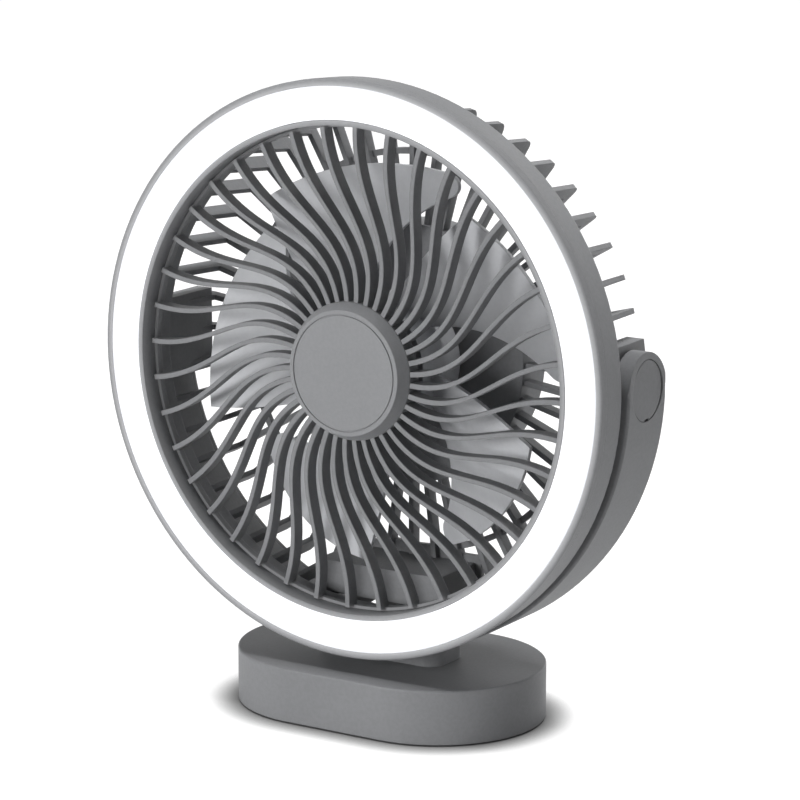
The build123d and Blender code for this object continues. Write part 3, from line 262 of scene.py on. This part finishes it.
def lightSpill(finish, where, spec):  # painted glow: the ring light's glow on the plastic beside it, painted as emission
    radius = ringRadius(finish, where, spec["centre"])
    near = 0.0
    for edge, reach, share in spec["edges"]:
        close = finish.limit(radius, edge + reach, edge) * finish.limit(radius, edge - reach, edge)
        near = near + close * close * share
    front = finish.limit(finish.along(where, "Y"), spec["front"] + spec["depth"], spec["front"])
    return finish.between(near * front, (0.0, 0.0, 0.0, 1.0), spec["glow"])


def mouldedPlastic(name, spec, spill=None):
    fin = newFinish(name)
    where = fin.place()
    cloud = fin.limit(fin.noise(where, spec["cloud"], detail=3.0), *spec["cloudSpan"])
    speck = fin.limit(fin.noise(where, spec["speck"], detail=1.0), *spec["speckSpan"])
    grain = fin.noise(where, spec["grain"])
    rounded = fin.node("ShaderNodeBevel", {"samples": 6}, {"Radius": spec["edge"]})
    flat = fin.node("ShaderNodeNewGeometry", {}, {}, "Normal")
    alike = fin.node("ShaderNodeVectorMath", {"operation": "DOT_PRODUCT"}, {0: rounded, 1: flat}, "Value")
    # painted highlight: rounded edges are painted lighter and a little smoother, where light catches them
    edgeHighlight = fin.limit(1 - alike, *spec["highlightSpan"])
    mottle = cloud * spec["cloudShare"] + speck * spec["speckShare"]
    tone = fin.between(mottle, spec["deep"], spec["pale"])
    tone = fin.between(edgeHighlight * spec["highlightShare"], tone, spec["highlightTone"])
    sockets = {
        "Base Color": tone,
        "Roughness": fin.waver(spec["roughness"], grain, spec["uneven"]) - edgeHighlight * spec["polish"],
        "Normal": fin.bump(grain, spec["bump"], rounded),
        "Specular IOR Level": spec["gloss"],
    }
    if spill:
        sockets["Emission Color"] = lightSpill(fin, where, spill)
        sockets["Emission Strength"] = 1.0
    return fin.close(sockets)


# cloud, speck and grain are scales of noise, edge is the width of the rounding that gets a painted highlight
bodyPlastic = {
    "deep": grey(0.205), "pale": grey(0.235), "highlightTone": grey(0.3), "highlightShare": 0.35,
    "cloud": 26.0, "cloudSpan": (0.3, 0.7), "cloudShare": 0.6,
    "speck": 900.0, "speckSpan": (0.35, 0.65), "speckShare": 0.4,
    "grain": 2600.0, "bump": 0.00003, "uneven": 0.18,
    "edge": 0.00045, "highlightSpan": (0.02, 0.35), "polish": 0.06,
    "roughness": 0.5, "gloss": 0.16,
}
grillePlastic = dict(bodyPlastic, edge=0.0006, highlightShare=0.45)
hubPlastic = dict(bodyPlastic, deep=grey(0.24), pale=grey(0.265), edge=0.0004, roughness=0.42)
bladePlastic = dict(
    bodyPlastic, deep=grey(0.51), pale=grey(0.55), highlightTone=grey(0.64), highlightShare=0.3,
    cloud=18.0, speck=700.0, grain=2200.0, bump=0.00002, edge=0.0005, roughness=0.42, gloss=0.2,
)
buttonPlastic = dict(bodyPlastic, deep=grey(0.29), pale=grey(0.32), edge=0.0003)
signPlastic = dict(buttonPlastic, deep=grey(0.5), pale=grey(0.56), edge=0.00008)


def dress(material, *names):
    for name in names:
        slots = nodes[name].data.materials
        slots.clear()
        slots.append(material)


dress(
    mouldedPlastic("bodyPlastic", bodyPlastic),
    "base_shell", "base_bottom_plate", "yoke", "yoke_cover", "pivot_cap_left", "pivot_cap_right",
    "ring_housing", "guard_side", "guard_rear", "motor_pod", "pod_cover", "control_box_cover",
)
ringLow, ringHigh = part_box("light_diffuser")
grilleLow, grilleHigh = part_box("front_grille")
innerLip, outerLap = 0.0015, 0.0005  # the bezel's lip inside the light, and its lap over the light's rim
ringCentre = (ringLow.z + ringHigh.z) / 2
lightOuter = (ringHigh.z - ringLow.z) / 2
grilleRadius = (grilleHigh.z - grilleLow.z) / 2
lightInner = grilleRadius + innerLip
bezelSpill = {  # edges: radius of the light's edge, reach of its glow, strength
    "centre": ringCentre, "front": ringLow.y, "depth": 0.004, "glow": (0.42, 0.42, 0.43, 1.0),
    "edges": ((lightOuter - outerLap, 0.0035, 1.0), (lightInner, 0.003, 0.4)),
}
grilleSpill = dict(bezelSpill, front=grilleLow.y, edges=((grilleRadius, 0.0022, 0.4),))
dress(mouldedPlastic("bezelPlastic", bodyPlastic, bezelSpill), "front_bezel")
dress(mouldedPlastic("grillePlastic", grillePlastic, grilleSpill), "front_grille")
dress(mouldedPlastic("hubPlastic", hubPlastic), "hub_cap")
dress(mouldedPlastic("bladePlastic", bladePlastic), "impeller")
dress(mouldedPlastic("buttonPlastic", buttonPlastic), "fan_button", "light_button")
print("plastics dressed")

# the light is whitest in front of its chips and fades at both rims
opalLight = {
    "white": (1.0, 1.0, 1.0, 1.0), "between": (0.93, 0.94, 0.96, 1.0), "edge": (0.42, 0.43, 0.45, 1.0),
    "fade": 0.0014, "chips": 60, "glow": 0.8,
    "grain": 1400.0, "bump": 0.00001, "roughness": 0.35, "uneven": 0.1,
}


def opalDiffuser(name, spec, centreHeight, outerRadius, innerRadius):
    fin = newFinish(name)
    where = fin.place()
    up = fin.along(where, "Z") - centreHeight
    angle = fin.node("ShaderNodeMath", {"operation": "ARCTAN2"}, {0: up, 1: fin.along(where, "X")})
    wave = fin.node("ShaderNodeMath", {"operation": "COSINE"}, {0: angle * spec["chips"]})
    hot = fin.limit(wave, -1.0, 1.0)
    grain = fin.noise(where, spec["grain"])
    radius = ringRadius(fin, where, centreHeight)
    inward = fin.limit(radius, outerRadius, outerRadius - spec["fade"])
    outward = fin.limit(radius, innerRadius, innerRadius + spec["fade"])
    tone = fin.between(inward * outward, spec["edge"], fin.between(hot, spec["between"], spec["white"]))
    return fin.close({
        "Base Color": tone,
        "Roughness": fin.waver(spec["roughness"], grain, spec["uneven"]),
        "Emission Color": tone,
        "Emission Strength": spec["glow"],
        "Normal": fin.bump(grain, spec["bump"]),
    })


dress(opalDiffuser("opalDiffuser", opalLight, ringCentre, lightOuter, lightInner), "light_diffuser")

# grainy finishes: two tones, and the grain's scale, depth and roughness
grainTexture = {"span": (0.3, 0.7), "detail": 3.0, "uneven": 0.2}
rubber = {"deep": grey(0.018), "pale": grey(0.03), "scale": 1500.0, "bump": 0.00006, "roughness": 0.82}
cableJacket = {"deep": grey(0.012), "pale": grey(0.022), "scale": 2400.0, "bump": 0.00003, "roughness": 0.6}
switchPlastic = {"deep": grey(0.02), "pale": grey(0.035), "scale": 1800.0, "bump": 0.00002, "roughness": 0.55}
ferrite = {"deep": grey(0.03), "pale": grey(0.06), "scale": 1100.0, "bump": 0.00008, "roughness": 0.78}
washerPlastic = {
    "deep": (0.72, 0.71, 0.66, 1.0), "pale": (0.8, 0.79, 0.74, 1.0),
    "scale": 900.0, "bump": 0.00002, "roughness": 0.5,
}
chipPhosphor = {
    "deep": (0.85, 0.66, 0.2, 1.0), "pale": (0.95, 0.82, 0.4, 1.0),
    "scale": 1600.0, "bump": 0.00003, "roughness": 0.4,
}
chargeLens = {
    "deep": (0.55, 0.75, 0.85, 1.0), "pale": (0.75, 0.88, 0.95, 1.0),
    "scale": 700.0, "bump": 0.00001, "roughness": 0.12,
}


def grainyFinish(name, spec):
    fin = newFinish(name)
    grain = fin.noise(fin.place(), spec["scale"], grainTexture["detail"])
    return fin.close({
        "Base Color": fin.between(fin.limit(grain, *grainTexture["span"]), spec["deep"], spec["pale"]),
        "Roughness": fin.waver(spec["roughness"], grain, grainTexture["uneven"]),
        "Normal": fin.bump(grain, spec["bump"]),
    })


dress(grainyFinish("footRubber", rubber), "rubber_feet", "battery_pad")
dress(grainyFinish("cableJacket", cableJacket), "stand_cable", "head_cable")
dress(grainyFinish("washerPlastic", washerPlastic), "friction_washer_left", "friction_washer_right")
dress(grainyFinish("switchPlastic", switchPlastic), "button_switches")
dress(grainyFinish("ferrite", ferrite), "motor_magnets")
dress(grainyFinish("chipPhosphor", chipPhosphor), "light_chips")
dress(grainyFinish("chargeLens", chargeLens), "charge_lenses")

# metals: two tones, how finely the streaks lie along x, y and z, and the roughness
streakTexture = {"span": (0.3, 0.7), "detail": 3.0, "uneven": 0.25, "bump": 0.00001}
platedSteel = {
    "deep": (0.5, 0.5, 0.51, 1.0), "pale": (0.64, 0.64, 0.65, 1.0),
    "stretch": (90.0, 2600.0, 90.0), "roughness": 0.32,
}
darkSteel = dict(platedSteel, deep=(0.2, 0.2, 0.21, 1.0), pale=(0.3, 0.3, 0.31, 1.0), roughness=0.36)
rotorIron = {
    "deep": (0.36, 0.2, 0.1, 1.0), "pale": (0.5, 0.3, 0.17, 1.0),
    "stretch": (200.0, 5200.0, 200.0), "roughness": 0.42,
}
bronze = {
    "deep": (0.42, 0.3, 0.14, 1.0), "pale": (0.56, 0.41, 0.2, 1.0),
    "stretch": (1500.0, 1500.0, 1500.0), "roughness": 0.45,
}
cellFoil = {
    "deep": (0.5, 0.51, 0.53, 1.0), "pale": (0.6, 0.61, 0.63, 1.0),
    "stretch": (160.0, 160.0, 160.0), "roughness": 0.38,
}


def metalFinish(name, spec):
    fin = newFinish(name)
    streak = fin.noise(fin.stretch(fin.place(), spec["stretch"]), 1.0, streakTexture["detail"])
    return fin.close({
        "Base Color": fin.between(fin.limit(streak, *streakTexture["span"]), spec["deep"], spec["pale"]),
        "Metallic": 1.0,
        "Roughness": fin.waver(spec["roughness"], streak, streakTexture["uneven"]),
        "Normal": fin.bump(streak, streakTexture["bump"]),
    })


dress(
    metalFinish("platedSteel", platedSteel),
    "base_screws", "charge_board_screws", "charging_socket", "yoke_screws",
    "pivot_pin_left", "pivot_pin_right", "guard_screws", "pod_screws", "motor_end_cap",
    "motor_can", "motor_screws", "control_board_screws", "motor_shaft",
)
dress(metalFinish("rotorIron", rotorIron), "motor_rotor")
dress(metalFinish("bronze", bronze), "motor_bearings")
dress(metalFinish("cellFoil", cellFoil), "battery_pack")

boardLacquer = {
    "mask": (0.012, 0.1, 0.035, 1.0), "trace": (0.03, 0.2, 0.07, 1.0),
    "scale": 320.0, "randomness": 0.35, "traceSpan": (0.42, 0.5),
    "roughness": 0.35, "traceRough": 0.1, "bump": 0.00004, "coat": 0.4,
}


def circuitBoard(name, spec):
    fin = newFinish(name)
    cells = fin.node(
        "ShaderNodeTexVoronoi",
        {"feature": "F1", "distance": "MANHATTAN"},
        {"Vector": fin.place(), "Scale": spec["scale"], "Randomness": spec["randomness"]},
    )
    copper = fin.limit(cells, *spec["traceSpan"])
    return fin.close({
        "Base Color": fin.between(copper, spec["mask"], spec["trace"]),
        "Roughness": spec["roughness"] + copper * spec["traceRough"],
        "Normal": fin.bump(copper, spec["bump"]),
        "Coat Weight": spec["coat"],
    })


dress(circuitBoard("boardLacquer", boardLacquer), "light_board", "charge_board", "control_board")
print("lights, metals and boards dressed")

weldDistance = 0.00001  # points nearer than this are one


def islandBoxes(name):  # the corners of each loose part of a node
    form = bmesh.new()
    form.from_mesh(nodes[name].data)
    bmesh.ops.remove_doubles(form, verts=form.verts, dist=weldDistance)
    boxes, known = [], set()
    for start in form.verts:
        if start in known:
            continue
        known.add(start)
        group, waiting = [], [start]
        while waiting:
            point = waiting.pop()
            group.append(tuple(point.co))
            for other in (edge.other_vert(point) for edge in point.link_edges):
                if other not in known:
                    known.add(other)
                    waiting.append(other)
        boxes.append((Vector([min(row) for row in zip(*group)]), Vector([max(row) for row in zip(*group)])))
    form.free()
    return boxes


def addPiece(name, form, material, body):
    bmesh.ops.recalc_face_normals(form, faces=form.faces)
    mesh = bpy.data.meshes.new(name)
    form.to_mesh(mesh)
    form.free()
    mesh.materials.append(material)
    obj = bpy.data.objects.new(name, mesh)
    scene.collection.objects.link(obj)
    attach(obj, body)
    return obj


# screws with a cross recess: a head's outline is in shares of its radius and height
flatHead = {"outline": ((0.96, 0.0), (1.0, -0.05)), "height": 0.00135}
panHead = {"outline": ((0.7, 0.0), (0.9, -0.14), (1.0, -0.45), (1.0, -1.0)), "height": 0.0014}
screwShape = {
    "segments": 28, "shank": 0.0011, "tip": 0.5, "thread": 0.00014, "pitch": 0.0005,
    "armLength": 0.62, "armHalf": 0.13, "recess": 0.45, "taper": 0.72, "turn": 0.65,
}
screwSets = {
    "base_screws": {"body": "stand", "out": (0.0, 0.0, -1.0), "head": flatHead},
    "guard_screws": {"body": "head", "out": (0.0, 1.0, 0.0), "head": panHead},
    "pod_screws": {"body": "head", "out": (0.0, 1.0, 0.0), "head": flatHead},
}


def addLoop(form, place, points):
    return [form.verts.new(place @ Vector(point)) for point in points]


def joinLoops(form, first, second):
    for index in range(len(first)):
        after = (index + 1) % len(first)
        form.faces.new((first[index], first[after], second[after], second[index]))


def circlePoints(count, radius, height):
    angles = [2 * math.pi * step / count for step in range(count)]
    return [(radius * math.cos(angle), radius * math.sin(angle), height) for angle in angles]


def crossPoints(spec, radius, share, height):
    arm, half = spec["armLength"] * radius * share, spec["armHalf"] * radius * share
    corners = ((arm, -half, height), (arm, half, height), (half, half, height))
    points = []
    for quarter in range(4):
        spin = Matrix.Rotation(quarter * math.pi / 2, 3, "Z")
        points += [spin @ Vector(corner) for corner in corners]
    return points


def addScrew(form, place, spec, head, radius, length):
    rings = [(share * radius, drop * head["height"]) for share, drop in head["outline"]]
    level, deep = -head["height"], False
    while level > spec["pitch"] - length:  # the thread's ridges
        rings.append((spec["shank"] - (spec["thread"] if deep else 0.0), level))
        level, deep = level - spec["pitch"] / 2, not deep
    rings.append((spec["shank"] * spec["tip"], -length))
    loops = [addLoop(form, place, circlePoints(spec["segments"], reach, height)) for reach, height in rings]
    for first, second in zip(loops, loops[1:]):
        joinLoops(form, first, second)
    form.faces.new(loops[-1])
    mouth = addLoop(form, place, crossPoints(spec, radius, 1.0, 0.0))
    bottom = addLoop(form, place, crossPoints(spec, radius, spec["taper"], -spec["recess"] * radius))
    joinLoops(form, mouth, bottom)
    form.faces.new(bottom)
    rim = []
    for loop in (mouth, loops[0]):
        for point, after in zip(loop, loop[1:] + loop[:1]):
            rim.append(form.edges.get((point, after)))
    bmesh.ops.triangle_fill(form, use_beauty=True, edges=rim)  # the head's face round the recess


def addScrews(name, spec, material):
    out = Vector(spec["out"])
    form = bmesh.new()
    for index, (low, high) in enumerate(islandBoxes(name)):
        middle, half = (low + high) / 2, (high - low) / 2
        reach = abs(half.dot(out))
        place = Matrix.Translation(middle + out * reach) @ out.to_track_quat("Z", "X").to_matrix().to_4x4()
        place = place @ Matrix.Rotation(index * screwShape["turn"], 4, "Z")
        addScrew(form, place, screwShape, spec["head"], half.x, 2 * reach)
    obj = addPiece(name + "_detailed", form, material, spec["body"])
    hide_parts(name)


screwFinish = metalFinish("darkSteel", darkSteel)
for screwName, screwSpec in screwSets.items():
    addScrews(screwName, screwSpec, screwFinish)
print("screws made")

# raised signs on the two buttons: a rotor for the fan, a sun for the light
signShape = {"height": 0.00018, "sunk": 0.0001, "edge": 0.00007, "share": 0.36}
rotorSign = {
    "blades": 3, "steps": 8, "disc": 20, "hub": 0.24, "root": 0.3,
    "start": 90.0, "lead": (32.0, 62.0), "trail": (-30.0, -4.0),
}
sunSign = {"rays": 8, "disc": 24, "core": 0.46, "inner": 0.66, "outer": 1.0, "half": 0.1}


def addRaised(form, place, outline, spec):  # a small plate with a bevelled top edge
    middle = sum((Vector(point) for point in outline), Vector((0.0, 0.0))) / len(outline)
    levels = ((0.0, -spec["sunk"]), (0.0, spec["height"] - spec["edge"]), (spec["edge"], spec["height"]))
    loops = []
    for inset, height in levels:
        points = []
        for point in outline:
            away = Vector(point) - middle
            kept = middle + away * max(0.0, 1 - inset / away.length)
            points.append((kept.x, kept.y, height))
        loops.append(addLoop(form, place, points))
    joinLoops(form, loops[0], loops[1])
    joinLoops(form, loops[1], loops[2])
    form.faces.new(loops[0])
    form.faces.new(loops[2])


def onCircle(radius, degrees):
    return (radius * math.cos(math.radians(degrees)), radius * math.sin(math.radians(degrees)))


def discOutline(radius, count):
    return [onCircle(radius, 360 * step / count) for step in range(count)]


def partWay(ends, share):
    return ends[0] + (ends[1] - ends[0]) * share


def rotorOutlines(spec, size):
    outlines = [discOutline(spec["hub"] * size, spec["disc"])]
    for blade in range(spec["blades"]):
        start = spec["start"] + 360 * blade / spec["blades"]
        lead, trail = [], []
        for step in range(spec["steps"] + 1):
            share = step / spec["steps"]
            radius = size * partWay((spec["root"], 1.0), share)
            lead.append(onCircle(radius, start + partWay(spec["lead"], share)))
            trail.append(onCircle(radius, start + partWay(spec["trail"], share)))
        outlines.append(trail + lead[::-1])
    return outlines


def sunOutlines(spec, size):
    outlines = [discOutline(spec["core"] * size, spec["disc"])]
    inner, outer, half = spec["inner"] * size, spec["outer"] * size, spec["half"] * size
    corners = ((inner, -half), (outer, -half), (outer, half), (inner, half))
    for ray in range(spec["rays"]):
        spin = Matrix.Rotation(2 * math.pi * ray / spec["rays"], 2)
        outlines.append([tuple(spin @ Vector(corner)) for corner in corners])
    return outlines


def addSign(name, button, body, outlinesOf, spec, material):
    low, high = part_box(button)
    size = signShape["share"] * min(high.x - low.x, high.z - low.z)
    middle = (low + high) / 2
    place = Matrix.Translation((middle.x, high.y, middle.z)) @ Matrix.Rotation(math.pi, 4, "Z")
    place = place @ Matrix.Rotation(math.pi / 2, 4, "X")
    form = bmesh.new()
    for outline in outlinesOf(spec, size):
        addRaised(form, place, outline, signShape)
    addPiece(name, form, material, body)


signFinish = mouldedPlastic("signPlastic", signPlastic)
addSign("fan_sign", "fan_button", "fan_push", rotorOutlines, rotorSign, signFinish)
addSign("light_sign", "light_button", "light_push", sunOutlines, sunSign, signFinish)
print("button signs made")
